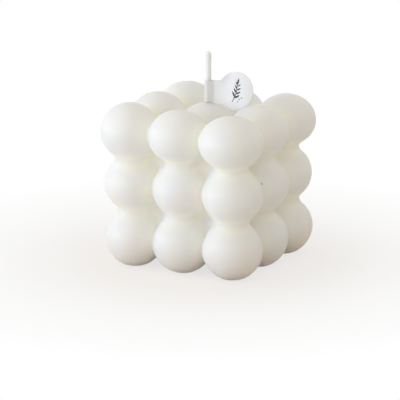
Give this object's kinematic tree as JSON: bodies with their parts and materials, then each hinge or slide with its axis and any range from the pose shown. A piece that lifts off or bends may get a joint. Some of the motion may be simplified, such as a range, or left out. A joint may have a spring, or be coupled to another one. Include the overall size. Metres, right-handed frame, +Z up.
{
  "type": "cube candle",
  "caption": "Cube-shaped wax candle cast as a block of fused round bubbles, with a free-standing wick and a round paper flag folded round it.",
  "frame": {"origin": "on the table under the wick, at the middle of the flat feet", "axes": "+Z up along the wick; +X from the wick along the paper flag to its round end; -Y towards the printed front of the flag"},
  "size_m": [0.0612, 0.0612, 0.0731],
  "materials": {
    "wax": "smooth off-white wax, soft sheen, light passes a little way in",
    "wick": "braided cotton, waxed",
    "paper": "thin white paper, matt"
  },
  "bodies": {
    "root": {"wax_body": "wax", "wick": "wick", "paper_tag": "paper"}
  },
  "joints": []
}
